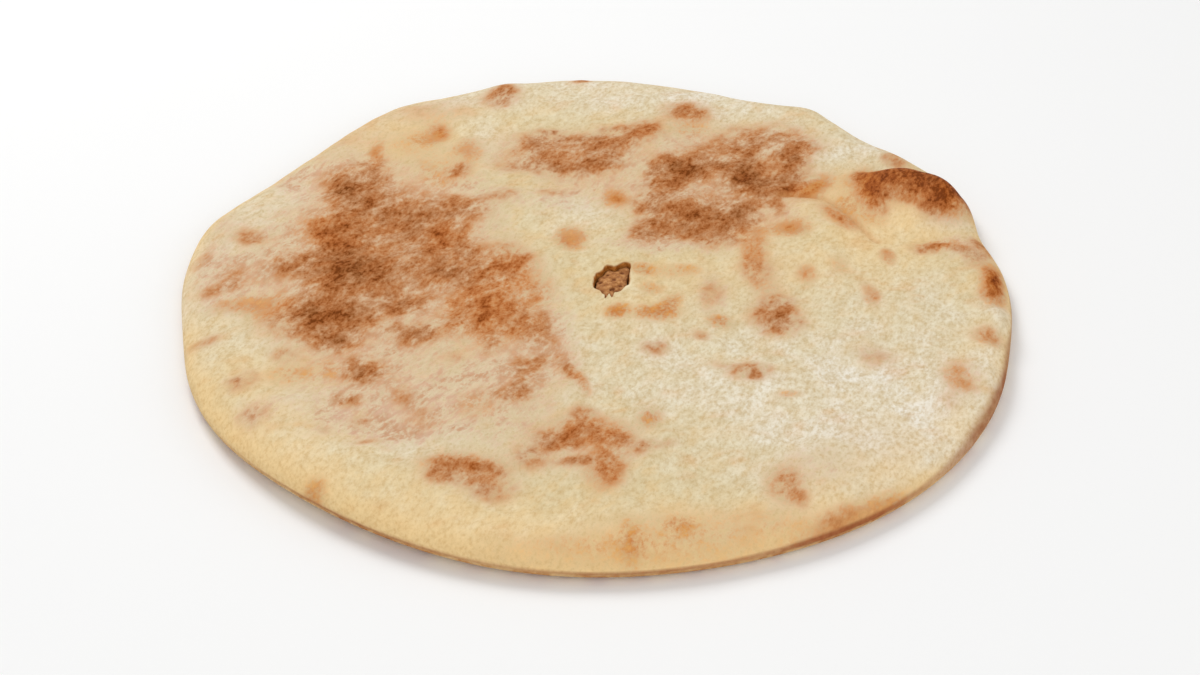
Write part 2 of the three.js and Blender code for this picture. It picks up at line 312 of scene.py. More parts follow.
FAR_RIGHT_PATCH = (
    (31, 75, 8, 7, 0, 0.56), (33, 70, 6, 5, 0, 0.43), (24, 77, 5, 4, 0, 0.14),
    (22, 70, 4, 6, 0, 0.32), (45, 75, 9, 4.5, 0, 0.58), (57, 71, 6, 8, 0, 0.66),
    (55, 63, 6, 5, 0, 0.70), (58, 84, 5, 8, 0, 0.40), (65, 65, 7, 6, -20, 0.60),
    (74, 69, 5, 9, 0, 0.54), (75, 57, 6, 4, 0, 0.36), (75, 82, 5, 6, 20, 0.50),
    (80, 92, 5, 6, 30, 0.26), (62, 98, 15, 12, 0, 0.30), (66, 55, 5, 4, 0, 0.26),
    (37, 68, 6, 4, 0, 0.28), (42, 90, 10, 8, 0, 0.20), (40, 82, 6, 4, 0, 0.22),
    (25, 59, 6, 9, 0, 0.40), (21, 49, 5, 6, 0, 0.36), (42, 38, 16, 10, 0, 0.42),
    (46, 34, 7, 6, 0, 0.26), (36, 43, 8, 5, 0, 0.14), (28, 41, 8, 8, 0, 0.24),
    (54, 43, 5, 6, 0, 0.44), (60, 50, 4, 5, 0, 0.24), (68, 47, 3, 5, 0, 0.28),
    (20, 32, 8, 6, 20, 0.42), (17, 24, 6, 5, 0, 0.34), (30, 28, 10, 4, 0, 0.28),
    (43, 25, 8, 4, 0, 0.32), (62, 57, 6, 4, 0, 0.24),
)
EAR_BROWNING = (
    (101, 70, 3.5, 5, 0, 0.50), (103, 64, 5, 7, 0, 0.54), (104, 57, 5, 7, 0, 0.56),
    (105, 50, 4, 5, 0, 0.38), (109, 63, 7, 4, 0, 0.30), (116, 62, 7, 6, 0, 0.84),
    (123, 59, 7, 7, 0, 0.90), (129, 53, 6, 8, 0, 0.84), (124, 48, 5, 5, 20, 0.50),
    (127, 43, 5.5, 4, 0, 0.50), (136, 57, 5, 11, 8, 0.78), (110, 56, 6, 5, 0, 0.62),
    (118, 70, 8, 4, -12, 0.40), (127, 66, 9, 6, -35, 0.84), (117, 52, 4, 4, 30, 0.46),
)
RIM_SPOTS = (
    (143.5, 5, 3.6, 5.5, -10, 0.82), (144, -3, 3.4, 5, 0, 0.64), (140, -6, 3, 3, -40, 0.36),
    (114, 83, 6, 4, -45, 0.38), (-37, 132, 6.5, 8.5, 0, 0.47), (-6, 145.5, 3.5, 2.5, 0, 0.46),
    (136, -31, 6, 4.5, 0, 0.36), (140, 28, 4, 4, 0, 0.42), (137, 16, 3.5, 6, 0, 0.44),
    (143, 22, 3, 5, 0, 0.36), (-136, -3, 8, 4, 25, 0.34), (-145, 17, 5, 6, 0, 0.26),
    (-127, 29, 7, 5, -30, 0.30), (-117, 72, 7, 4, -20, 0.12), (-138, -36, 8, 3.5, 20, 0.32),
    (35.5, 119.5, 9, 7, 0, 0.52), (37, 118, 4, 4, 0, 0.24), (61, -115, 5, 7, 0, 0.46),
    (66, -121, 3, 5, 30, 0.24), (123, -54, 4, 8, -10, 0.28), (127, -60, 4, 4, 40, 0.18),
    (-130, -15, 7, 4, 0, 0.26), (-132, 6, 6, 5, 0, 0.22), (119, -68, 4, 5, 0, 0.20),
    (78, -129, 10, 3, 31, 0.46),
)
SINGLE_SPOTS = (
    (62, -21, 8, 11, 0, 0.42), (64, -28, 8, 6, 0, 0.40), (67, -13, 4, 5, 0, 0.20),
    (52.5, -56.5, 6.5, 5, 0, 0.52), (42, -52, 5, 3, -20, 0.22), (20, -44, 5, 4, 20, 0.40),
    (37, -36, 3, 3, 0, 0.34), (40, -9, 4, 9, 0, 0.22), (96, -44, 7, 6, 0, 0.30),
    (123, 23, 6, 2.8, 16, 0.62), (132, 22, 5, 2.4, -16, 0.36), (97, -9, 3, 6, 0, 0.34),
    (90, 41, 3.5, 8, 35, 0.42), (57, 18, 4, 13, 0, 0.28), (58, 4, 6, 8, 0, 0.22),
    (-36, 53, 6, 4, 20, 0.34), (-17, 57, 5, 2.5, 0, 0.30), (-53, 73, 4, 5.5, 0, 0.54),
    (72, 33, 4.5, 4, 0, 0.34), (106, 16, 2.5, 4, 0, 0.30), (76, 3, 3, 4, 0, 0.26),
    (83, 64, 3.5, 8, -28, 0.44), (7, 52, 4, 5, 0, 0.32), (-10, 25, 4, 6, 0, 0.22),
    (-86, 87, 2.5, 6, 0, 0.24), (15, 46, 3, 5, 0, 0.24), (-22, -36, 5, 6, 0, 0.24),
    (-62, 104, 4, 6, 0, 0.42), (-49, 88, 4, 6, 0, 0.20),
)
# Faint, wide browning under and round these places.
BROAD_BROWNING = (
    (-84, 25, 32, 50, 0, 0.16), (-36, -14, 19, 28, 0, 0.14), (-82, -28, 26, 20, 0, 0.14),
    (-122, 8, 16, 16, 0, 0.12), (-72, -58, 26, 22, 0, 0.12), (-22, -60, 14, 18, 0, 0.14),
    (-6, -97, 22, 15, 0, 0.16), (-44, -112, 14, 10, 0, 0.16), (-10, 88, 28, 17, 0, 0.20),
    (38, 44, 24, 16, 0, 0.20), (48, 68, 28, 22, 0, 0.20), (68, 96, 18, 17, 0, 0.22),
    (-122, -22, 12, 8, 0, 0.06), (-66, 124, 20, 8, 12, 0.20), (-102, 102, 16, 18, -40, 0.18),
    (-137, 34, 8, 12, -20, 0.10), (-4, 64, 18, 8, 0, 0.14), (60, 8, 12, 14, 0, 0.12),
    (38, -12, 9, 12, 0, 0.09), (84, -98, 28, 14, 30, 0.10),
)
BROWNED = (
    BROAD_BROWNING + LEFT_PATCH + MIDDLE_ARM + NEAR_LEFT_SPOTS + NEAR_MIDDLE_PATCHES + FAR_MIDDLE_PATCH
    + FAR_RIGHT_PATCH + EAR_BROWNING + RIM_SPOTS + SINGLE_SPOTS
)

# The other coloured places.
ORANGE_SPOTS = (
    (-62, 103, 4, 6, 0, 0.90), (-67, 98, 5, 5, 0, 0.36), (-86, 87, 2.5, 7, 0, 0.75),
    (-49, 88, 5, 8, 0, 0.60), (-10, 25, 5, 7, 0, 0.85), (7, 52, 4.5, 5.5, 0, 0.92),
    (83, 64, 4, 8, -28, 1.0), (79, 58, 5, 4, 0, 0.80), (72, 33, 5.5, 5, 0, 0.85),
    (63, 31, 8, 4, 0, 0.38), (90, 41, 4, 8, 35, 0.70), (57, 17, 4, 13, 0, 0.70),
    (21, -24, 7, 5, 10, 0.72), (26, -16, 3, 6, -15, 0.52), (7, -22, 4, 4, 0, 0.80),
    (43, -27, 4, 4, 0, 0.54), (18, -82, 4, 5, 0, 0.55), (-5, -62, 2, 7, 20, 0.55),
    (-38, -20, 13, 18, 0, 0.70), (-32, 8, 8, 10, 0, 0.45), (-116, -16, 7, 8, 0, 0.65),
    (-92, -118, 4, 5, 0, 0.62), (27, -136, 4.5, 3, 0, 0.40), (11, -142, 3, 7, 0, 0.38),
    (17, 5, 4, 4, 0, 0.55), (106, 16, 2.5, 4, 0, 0.60), (76, 3, 3, 5, 0, 0.42),
    (88, 8, 4, 6, 0, 0.26), (125, 25, 8, 4, 3, 0.60), (-103, -57, 10, 7, 0, 0.36),
    (-91, -55, 3, 6, 20, 0.34), (65, -70, 4, 2, 0, 0.36), (143, 2, 4.5, 12, -6, 0.95),
    (103, 60, 4, 12, 0, 0.80), (-72, 92, 14, 14, 0, 0.26), (-125, -13, 8, 4, 0, 0.55),
    (-55, 26, 8, 8, 0, 0.50), (-98, 32, 12, 12, 0, 0.45), (3, -110, 6, 10, 0, 0.50),
    (-2, -90, 12, 8, 0, 0.45), (-45, -108, 12, 5, 0, 0.50), (17, 103, 9, 7, 0, 0.40),
    (-40, -78, 6, 6, 0, 0.30), (-58, 70, 10, 10, 0, 0.35), (61, -115, 6, 7, 0, 0.40),
    (123, -56, 5, 8, 0, 0.45), (97, -9, 3, 6, 0, 0.36), (37, 112, 7, 12, 0, 0.40),
    (113, 61, 17, 10, -18, 0.76), (131, 50, 7, 10, 0, 0.74), (136, -32, 5, 5, 0, 0.45),
    (42, -138, 44, 11, 6, 0.27), (60, -4, 6, 6, 0, 0.30), (95, 51, 6, 6, 0, 0.44),
    (102, 41, 6, 5, 0, 0.24), (84, -127, 22, 4, 33, 0.80), (-62, 117, 14, 7, 10, 0.22),
    (-23, -7, 6, 9, 0, 0.36), (-5, -146, 40, 5, 0, 0.22), (19, -7, 3.5, 4, 0, 0.34),
    (27, 3, 5, 4, 0, 0.26), (34, 4, 4, 4, 0, 0.28),
)
TAN_VEILS = (
    (-92, 16, 27, 46, 0, 0.74), (-60, 45, 20, 22, 0, 0.60), (-45, -10, 26, 26, 0, 0.50),
    (-68, -72, 28, 16, 0, 0.55), (-28, -58, 14, 18, 0, 0.56), (-128, 5, 14, 10, 0, 0.55),
    (-98, 70, 14, 10, 0, 0.40), (-60, -88, 24, 8, 0, 0.38), (-5, -98, 22, 14, 0, 0.40),
    (-45, -113, 14, 9, 0, 0.30), (-12, 88, 24, 14, 0, 0.50), (45, 55, 34, 28, 0, 0.55),
    (68, 98, 16, 12, 0, 0.50), (38, 92, 12, 12, 0, 0.40), (20, 22, 14, 5, 0, 0.50),
    (62, -22, 9, 11, 0, 0.35), (70, -108, 18, 12, 0, 0.28), (-14, -40, 7, 18, 15, 0.45),
    (-15, 52, 14, 8, 0, 0.30), (134, 24, 10, 8, 0, 0.45), (42, -12, 5, 12, 0, 0.30),
    (125, -55, 8, 12, 0, 0.35), (-78, -45, 14, 10, 0, 0.40), (85, -45, 14, 6, 0, 0.20),
    (-118, 72, 12, 8, 0, 0.30), (-143, 17, 6, 8, 0, 0.40), (2, 64, 16, 7, 0, 0.22),
    (-115, -80, 7, 7, 0, 0.40), (-98, 100, 14, 14, -40, 0.14), (-138, -8, 8, 10, 0, 0.30),
    (-140, 40, 8, 10, 0, 0.22),
)
GOLDEN_AREAS = (
    (-110, -95, 34, 18, -42, 0.9), (-70, -128, 40, 14, -20, 0.7), (0, -141, 60, 12, 0, 0.9),
    (60, -134, 34, 12, 18, 0.8), (95, -112, 24, 10, 42, 0.7), (-128, -65, 14, 30, 20, 0.4),
    (116, 42, 14, 14, 0, 0.9), (100, 34, 22, 20, 0, 0.7), (95, 8, 26, 14, 0, 0.5),
    (76, 46, 14, 10, 0, 0.6), (62, 32, 10, 8, 0, 0.6), (-70, 100, 26, 26, 0, 0.5),
    (-95, 105, 20, 14, 45, 0.3), (-105, -55, 18, 12, 0, 0.4), (24, 2, 20, 10, 0, 0.4),
    (134, -42, 8, 16, 0, 0.8), (60, 12, 20, 16, 0, 0.3), (90, 58, 8, 12, 0, 0.7),
    (16, -20, 16, 10, 0, 0.5), (-10, 30, 14, 12, 0, 0.3), (-5, 62, 16, 8, 0, 0.3),
    (118, -82, 16, 22, -30, 0.7),
)
FLOURY_AREAS = (
    (96, -60, 32, 36, 0, 1.0), (60, -75, 36, 26, 0, 0.6), (35, -50, 28, 20, 0, 0.4),
    (0, 40, 12, 16, 0, 0.3), (120, -12, 14, 14, 0, 0.4), (-62, -98, 26, 8, 0, 0.4),
    (-126, 48, 12, 26, -25, 0.6), (85, 88, 14, 12, 0, 0.6), (-42, 100, 8, 14, 0, 0.4),
    (28, 133, 52, 15, -6, 0.9), (-44, 133, 32, 10, 10, 0.6), (105, 98, 14, 12, -45, 0.7),
    (143, -18, 6, 8, 0, 1.0), (132, 38, 7, 3, 0, 0.6), (-120, -38, 12, 8, 0, 0.3),
    (60, -100, 20, 14, 0, 0.3), (4, -52, 22, 22, 0, 0.4), (-138, -24, 9, 20, 0, 0.4),
    (-138, 20, 8, 12, 0, 0.3), (-12, 42, 10, 12, 0, 0.5), (-20, -40, 12, 8, 0, 0.3),
    (-100, -75, 14, 10, 0, 0.3), (118, -88, 14, 18, -30, 0.4), (-149, -4, 5, 26, 0, 0.9),
    (97, -82, 16, 12, 0, 0.9), (137, -52, 7, 14, 0, 0.6),
)

# The fold beside the ear.
EAR_FOLD = ((69, 56), (86, 55), (92.5, 46), (98, 35), (103, 27))
FOLD_HALF_WIDTH = 1.6
FOLD_DEPTH = 0.8

# The darker line at the foot of the near edge: its height above the edge and its strength, by direction,
# and the shares of its height at which it begins to fade and is gone.
# The line is browned crust, darkened further with painted shade of the side wall and of the gap under the
# edge.
FOOT_LINE_HEIGHT = 0.7
FOOT_LINE_LIFTS = ((-24, 20, 3.5), (-62, 12, 1.0))
FOOT_LINE_STRENGTHS = ((-122, 22, 0.9), (-82, 18, 0.8), (-58, 10, 0.9), (-24, 24, 0.95))
FOOT_LINE_FADE = (0.5, 1.3)

# Where the crust's other marks lie: the heights of the ear over which it shines, the shares of the roll
# over which the rim turns down and the underside ends, and distances from the vent's lip.
EAR_SHINES = (0.5, 3.5)
RIM_TURNS_DOWN = (0.55, 1.0)
UNDERSIDE_ENDS = (0.97, 1.0)
TORN_WIDTH = 0.4
# A painted highlight on the lower right of the vent's lip: its distance from the lip, its half width and the
# side it lies on.
LIP_HIGHLIGHT_DISTANCE = 1.1
LIP_HIGHLIGHT_HALF_WIDTH = 0.8
LIP_HIGHLIGHT_SIDE = ((-28, 34, 1),)

# How the coloured places are laid on: (rows, how far they are warped, how sharp their edges are).
COLOURINGS = {
    "browned": (BROWNED, 1.0, 1.25),
    "orange": (ORANGE_SPOTS, 0.7, 1.25),
    "veil": (TAN_VEILS, 2.0, 1.0),
    "golden": (GOLDEN_AREAS, 2.0, 1.0),
    "floury": (FLOURY_AREAS, 2.0, 1.0),
}
COLOUR_FALL = 0.7

# The clouds that warp them: (shift, size, seed of the shift in x, seed of the shift in y).
WARPS = ((1.8, 17, 11, 31), (1.3, 5, 21, 41))

# Fine forms as clouds: rows of (height, size, seed, octaves).
CRUST_GRAIN = ((0.07, 8, 101, 2), (0.06, 3.2, 111, 2))
PROUD_UNEVENNESS = ((0.8, 6, 121, 2),)
PASTE_CRUMBS = ((0.34, 1.5, 201, 3), (0.12, 0.7, 211, 2))

# Browned places stand proud: by how much, and between which strengths of browning they rise.
PROUD_HEIGHT = 0.35
PROUD_RISES = (0.1, 0.8)

# How far the vent's lip and wall stray where they are torn: (distance, size of the clouds), and the seeds.
LIP_STRAY = (0.28, 1.6)
LIP_STRAY_SEED = 131
WALL_STRAY = (0.25, 1.2)
WALL_STRAY_SEED = 140


def coloured(x, y, rows, warp, sharpness):
    """1 less the product of what each row leaves clear, over places that are warped by clouds.

    A row leaves clear 1 - strength * exp(-fall * reach), where reach is the squared distance in half
    lengths and half widths, to the power of the sharpness.
    """
    warped_x, warped_y = x, y
    for shift, size, seed_x, seed_y in WARPS:
        warped_x = warped_x + warp * shift * clouds(x, y, size, seed_x)
        warped_y = warped_y + warp * shift * clouds(x, y, size, seed_y)
    clear = np.ones(np.shape(x))
    for centre_x, centre_y, half_length, half_width, turn, strength in rows:
        along, across = turned(warped_x, warped_y, centre_x, centre_y, turn)
        reach = ((along / half_length) ** 2 + (across / half_width) ** 2) ** sharpness
        clear *= 1 - strength * np.exp(-COLOUR_FALL * reach)
    return 1 - clear


def near_line(x, y, points, half):
    """The bell of the distance to the nearest piece of a line through some points."""
    nearest = np.full(np.shape(x), np.inf)
    for (start_x, start_y), (end_x, end_y) in zip(points, points[1:]):
        step_x, step_y = end_x - start_x, end_y - start_y
        share = ((x - start_x) * step_x + (y - start_y) * step_y) / (step_x ** 2 + step_y ** 2)
        share = np.clip(share, 0, 1)
        distance = np.hypot(x - start_x - share * step_x, y - start_y - share * step_y)
        nearest = np.minimum(nearest, distance)
    return bell(nearest, half)


def grain(x, y, rows):
    """The sum of clouds, each times its height."""
    return sum(height * clouds(x, y, size, seed, octaves) for height, size, seed, octaves in rows)


def fine_relief(x, y, browned):
    """The crust's grain, plus browned places unevenly proud, less the fold's groove."""
    proud = PROUD_HEIGHT * smooth_step(*PROUD_RISES, browned) * (1 + grain(x, y, PROUD_UNEVENNESS))
    return grain(x, y, CRUST_GRAIN) + proud - FOLD_DEPTH * near_line(x, y, EAR_FOLD, FOLD_HALF_WIDTH)


def plan(degrees, radius, centre=(0.0, 0.0)):
    """The place at a radius from a centre, in each direction."""
    turn = np.radians(degrees)
    return centre[0] + radius * np.cos(turn), centre[1] + radius * np.sin(turn)


def directions(count):
    """Evenly spaced directions round the circle."""
    return np.arange(count) * 360.0 / count


def between(start, end, share):
    """A share of the way from a start to an end."""
    return start + (end - start) * share


def ring(x, y, height):
    """The points of one ring, all at one height or each at its own."""
    return np.stack([x, y, np.broadcast_to(height, x.shape)], -1)


def outline_middle():
    """The middle of the solids' box, which the frame has at its origin."""
    degrees = directions(SOLID_DIRECTIONS)
    x, y = plan(degrees, outline_radius(degrees))
    return (x.min() + x.max()) / 2, (y.min() + y.max()) / 2


def put_in_scene(name, data):
    """An object made of a mesh, a light or a camera, linked to the scene."""
    thing = bpy.data.objects.new(name, data)
    bpy.context.scene.collection.objects.link(thing)
    return thing


def closed_skin(name, first_pole, rings, last_pole, fields):
    """A closed mesh: rings of equal length joined by quads, with a fan of triangles at each pole.

    rings is an array of (ring, direction, 3) in millimetres, from the underside outwards and back.
    fields maps the name of an attribute to its values on the rings; a pole has its ring's mean.
    """
    ring_count, count = rings.shape[:2]
    points = np.concatenate([[first_pole], rings.reshape(-1, 3), [last_pole]])
    points = (points - (*outline_middle(), 0)) * MILLIMETRE
    index = 1 + np.arange(ring_count * count).reshape(ring_count, count)
    onward = np.roll(index, -1, axis=1)
    quads = np.stack([index[:-1], onward[:-1], onward[1:], index[1:]], -1).reshape(-1, 4)
    first_fan = np.stack([np.zeros(count, int), onward[0], index[0]], -1)
    last_fan = np.stack([index[-1], onward[-1], np.full(count, len(points) - 1)], -1)
    mesh = bpy.data.meshes.new(name)
    mesh.from_pydata(points.tolist(), [], first_fan.tolist() + quads.tolist() + last_fan.tolist())
    mesh.polygons.foreach_set("use_smooth", np.ones(len(mesh.polygons), bool))
    for field, values in fields.items():
        with_poles = np.concatenate([[values[0].mean()], values.ravel(), [values[-1].mean()]])
        layer = mesh.attributes.new(field, "FLOAT", "POINT")
        layer.data.foreach_set("value", with_poles.astype(np.float32))
    mesh.update()
    return put_in_scene(name, mesh)


def torn_stray(degrees, distance, size, seed):
    """How far torn crust strays from the vent's smooth outline: a distance times clouds."""
    x, y = plan(degrees, by_direction(degrees, VENT_RADIUS, VENT_SWELLS), VENT_CENTRE)
    return distance * clouds(x, y, size, seed, 2)


def underside_rings(degrees, edge):
    """Flat rings out to the undercut, then a quarter curve up towards the edge."""
    undercut = by_direction(degrees, UNDERCUT_WIDTH, UNDERCUT_CHANGES)
    edge_height = by_direction(degrees, EDGE_HEIGHT, EDGE_LIFTS)
    rings = []
    for k in range(1, UNDERSIDE_STEPS + 1):
        x, y = plan(degrees, (edge - undercut) * k / UNDERSIDE_STEPS)
        rings.append(ring(x, y, 0.0))
    for k in range(1, UNDERCUT_STEPS):
        turn = math.pi / 2 * k / UNDERCUT_STEPS
        x, y = plan(degrees, edge - undercut * (1 - math.sin(turn)))
        rings.append(ring(x, y, edge_height * (1 - math.cos(turn))))
    return rings


def top_shares(degrees, edge, reach):
    """How far out each top ring lies, as a share of the way from the vent's lip to the edge.

    The roll's rings are spaced along a quarter circle and the next ones by a power of their number.
    The last ones lie at fixed distances from the lip.
    """
    roll = by_direction(degrees, ROLL_WIDTH, ROLL_CHANGES) / edge
    lip = LIP_DISTANCES[0] / reach
    shares = [1 - roll * (1 - math.cos(math.pi / 2 * k / ROLL_STEPS)) for k in range(ROLL_STEPS)]
    shares += [lip + (1 - roll - lip) * (k / TOP_STEPS) ** TOP_SPACING for k in range(TOP_STEPS, 0, -1)]
    shares += [distance / reach for distance in LIP_DISTANCES]
    return np.array(shares)


def inside_rings(degrees, edge, vent, lip_top):
    """The torn wall down from the lip, the ceiling out to the solid rim, and the hollow's foot."""
    lip_x, lip_y = plan(degrees, vent, VENT_CENTRE)
    foot_x, foot_y = plan(degrees, edge - SOLID_RIM)
    rings = []
    for k in range(1, WALL_STEPS + 1):
        x, y = plan(degrees, vent + torn_stray(degrees, *WALL_STRAY, WALL_STRAY_SEED + k), VENT_CENTRE)
        rings.append(ring(x, y, between(lip_top, ceiling_height(lip_x, lip_y), k / WALL_STEPS)))
    for k in range(1, CEILING_STEPS + 1):
        x, y = between(lip_x, foot_x, k / CEILING_STEPS), between(lip_y, foot_y, k / CEILING_STEPS)
        rings.append(ring(x, y, ceiling_height(x, y)))
    rings.append(ring(foot_x, foot_y, BOTTOM_CRUST))
    return rings


def crust_fields(rings, degrees, under_count, lip_distance):
    """The crust's fields on its rings: the underside's come first, then the top's, then the inside's.

    lip_distance is how far the top's points lie from the vent's lip. Of the coloured places, only the
    golden ones run on under the rim and inside.
    """
    x, y, z = rings[..., 0], rings[..., 1], rings[..., 2]
    top = slice(under_count, under_count + len(lip_distance))
    is_under, is_top, torn, lip_highlight = np.zeros((4, *x.shape))
    is_under[:top.start] = 1
    is_top[top] = 1
    torn[top] = bell(lip_distance, TORN_WIDTH)
    torn[top.stop:] = 1
    # A painted highlight where the lower right of the vent's lip catches the light.
    lip_highlight[top] = bell(lip_distance - LIP_HIGHLIGHT_DISTANCE, LIP_HIGHLIGHT_HALF_WIDTH)
    lip_highlight[top] *= by_direction(degrees, 0, LIP_HIGHLIGHT_SIDE)

    fields = {name: coloured(x, y, *colouring) for name, colouring in COLOURINGS.items()}
    for name in ("browned", "orange", "veil", "floury"):
        fields[name] *= is_top
    # The foot line: browned crust with painted shade of the side wall and the gap under the edge.
    above_edge = z - by_direction(degrees, EDGE_HEIGHT, EDGE_LIFTS)
    line_top = by_direction(degrees, FOOT_LINE_HEIGHT, FOOT_LINE_LIFTS)
    fade = smooth_step(FOOT_LINE_FADE[0] * line_top, FOOT_LINE_FADE[1] * line_top, above_edge)
    line = np.clip(by_direction(degrees, 0, FOOT_LINE_STRENGTHS) * (1 - fade), 0, 1)
    rolled = rolled_share(x, y)
    return fields | {
        "ear": smooth_step(*EAR_SHINES, ear_height(x, y)) * is_top,
        "foot_brown_and_shade": line * (is_top + is_under),
        "underside": is_under * (1 - smooth_step(*UNDERSIDE_ENDS, rolled)),
        "turned_down": smooth_step(*RIM_TURNS_DOWN, rolled) * is_top + is_under,
        "torn": torn,
        # Where the painted shade of the fold's groove lies.
        "fold": near_line(x, y, EAR_FOLD, FOLD_HALF_WIDTH) * is_top,
        "lip_highlight": lip_highlight,
    }


def make_crust():
    """The crust: rings out along the underside, over the top to the vent, and round the paste.

    The top's points are shares of the way from the vent's lip to the edge, at the top's height.
    """
    degrees = directions(CRUST_DIRECTIONS)
    edge = outline_radius(degrees)
    edge_x, edge_y = plan(degrees, edge)
    vent = by_direction(degrees, VENT_RADIUS, VENT_SWELLS) + torn_stray(degrees, *LIP_STRAY, LIP_STRAY_SEED)
    lip_x, lip_y = plan(degrees, vent, VENT_CENTRE)
    reach = np.hypot(edge_x - lip_x, edge_y - lip_y)

    shares = top_shares(degrees, edge, reach)
    lip_distance = shares * reach
    x, y = between(lip_x, edge_x, shares), between(lip_y, edge_y, shares)
    relief = fine_relief(x, y, coloured(x, y, *COLOURINGS["browned"]))
    z = top_height(x, y, relief) + lip_height(lip_distance)

    under = underside_rings(degrees, edge)
    rings = np.concatenate([under, np.stack([x, y, z], -1), inside_rings(degrees, edge, vent, z[-1])])
    fields = crust_fields(rings, degrees, len(under), lip_distance)
    return closed_skin("dough_crust", (0, 0, 0), rings, (0, 0, BOTTOM_CRUST), fields)


# Pits in the paste, from the vent's centre: (x, y, half width, depth).
PASTE_PITS = (
    (0.7, 2.0, 0.9, 1.0), (-4.0, 0.4, 0.8, 0.9), (-5.2, 1.7, 0.8, 0.8), (-3.9, -5.4, 0.8, 0.8),
    (1.8, -5.3, 0.8, 0.9), (-0.4, -3.9, 0.7, 0.8), (0.5, -3.5, 0.7, 0.8), (3.1, -1.6, 0.7, 0.8),
    (-1.4, 5.2, 0.8, 0.7), (3.9, 6.0, 1.0, 0.8), (3.4, -7.0, 0.7, 0.6),
)
DEEPEST_PIT = 1.2

# The paste's fields: the depth that counts as a full pit, how much crumbs lessen it, the height of a
# full crumb, and how steeply the shade rises towards the vent's wall.
FULL_PIT = 0.9
PIT_LESS_CRUMBS = 0.9
FULL_CRUMB = 0.35
SHADE_POWER = 6


def pit_depth(x, y):
    """The sum of the pits, each its depth times a bell, but no deeper than the deepest."""
    total = np.zeros(x.shape)
    for pit_x, pit_y, half, depth in PASTE_PITS:
        total += depth * bell(np.hypot(x - VENT_CENTRE[0] - pit_x, y - VENT_CENTRE[1] - pit_y), half)
    return np.minimum(total, DEEPEST_PIT)


def make_paste():
    """The filling: a disc through the bread with a crumbly neck that rises in the vent.

    A top ring is a share of the way from the vent's centre to its wall, a little below the lip, with
    clouds for crumbs and bells for pits. The disc follows the crust's inside with a small gap.
    """
    degrees = directions(PASTE_DIRECTIONS)
    neck = by_direction(degrees, VENT_RADIUS, VENT_SWELLS) - PASTE_NECK_GAP
    neck_x, neck_y = plan(degrees, neck, VENT_CENTRE)
    side_x, side_y = plan(degrees, outline_radius(degrees) - SOLID_RIM - PASTE_SIDE_GAP)
    foot = BOTTOM_CRUST + PASTE_GAP

    disc = [ring(side_x, side_y, foot)]
    for k in range(PASTE_DISC_STEPS, -1, -1):
        share = k / PASTE_DISC_STEPS
        x, y = between(neck_x, side_x, share), between(neck_y, side_y, share)
        disc.append(ring(x, y, ceiling_height(x, y) - PASTE_GAP))

    shares = (np.arange(PASTE_TOP_STEPS, 0, -1) / PASTE_TOP_STEPS)[:, None]
    x, y = between(VENT_CENTRE[0], neck_x, shares), between(VENT_CENTRE[1], neck_y, shares)
    crumbs = grain(x, y, PASTE_CRUMBS)
    pits = pit_depth(x, y)
    z = top_height(x, y) - PASTE_BELOW_LIP - PASTE_DOMING * shares ** 2 + crumbs - pits
    rings = np.concatenate([disc, np.stack([x, y, z], -1)])

    neck_fields = {
        # Painted shade in the pits, less where crumbs stand.
        "pit_shade": np.clip(pits / FULL_PIT - PIT_LESS_CRUMBS * crumbs, 0, 1),
        "crumb": smooth_step(0.0, FULL_CRUMB, crumbs - pits),
        "shaded": np.broadcast_to(shares ** SHADE_POWER, x.shape),
    }
    plain = np.zeros((len(disc), PASTE_DIRECTIONS))
    fields = {name: np.concatenate([plain, values]) for name, values in neck_fields.items()}
    crest = (*VENT_CENTRE, float(z[-1].mean()))
    return closed_skin("bean_paste", (0, 0, foot), rings, crest, fields)


def light_of(channel):
    """The light of one screen channel from 0 to 255, by the standard screen curve."""
    share = channel / 255
    return share / 12.92 if share <= 0.04045 else ((share + 0.055) / 1.055) ** 2.4


def tone(red, green, blue):
    """A colour given as it looks on a screen."""
    return (light_of(red), light_of(green), light_of(blue), 1.0)


def tones(*rows):
    """A ramp's stops from rows of (place, red, green, blue)."""
    return tuple((place, tone(red, green, blue)) for place, red, green, blue in rows)


# The crust's colours.
CREAM = tones((0.32, 210, 189, 144), (0.50, 218, 201, 160), (0.68, 224, 210, 173))
CREAM_BLOTCH = tone(222, 190, 135)
GOLDEN = tones((0.32, 229, 198, 146), (0.52, 232, 205, 156), (0.70, 235, 211, 167))
FLOUR = tones((0.40, 219, 205, 177), (0.60, 237, 231, 217))
VEIL = tones((0.42, 194, 143, 106), (0.58, 206, 166, 139))
FLOUR_IN_VEIL = tone(232, 216, 194)
FRECKLE = tone(214, 162, 102)
ORANGE = tones((0.36, 184, 102, 38), (0.50, 198, 122, 52), (0.64, 212, 150, 78))
WARM_BROWN = tones(
    (0.00, 222, 190, 151), (0.20, 215, 171, 128), (0.43, 203, 142, 91),
    (0.67, 182, 109, 56), (0.88, 150, 78, 28), (1.00, 118, 56, 10),
)
DULL_BROWN = tones(
    (0.00, 218, 190, 157), (0.20, 208, 168, 132), (0.43, 190, 140, 100),
    (0.67, 165, 109, 66), (0.88, 134, 78, 34), (1.00, 104, 54, 14),
)
TOASTED_TINT = (1.0, 0.88, 0.55, 1)
# The turned-down rim's golden colour, lightened with painted light bounced up onto the roll from below.
GOLDEN_RIM_AND_BOUNCED_LIGHT = tone(238, 202, 142)
# Browned crust at the foot, darkened with painted shade of the side wall and the gap beneath.
FOOT_BROWN_AND_SHADE = tone(152, 88, 52)
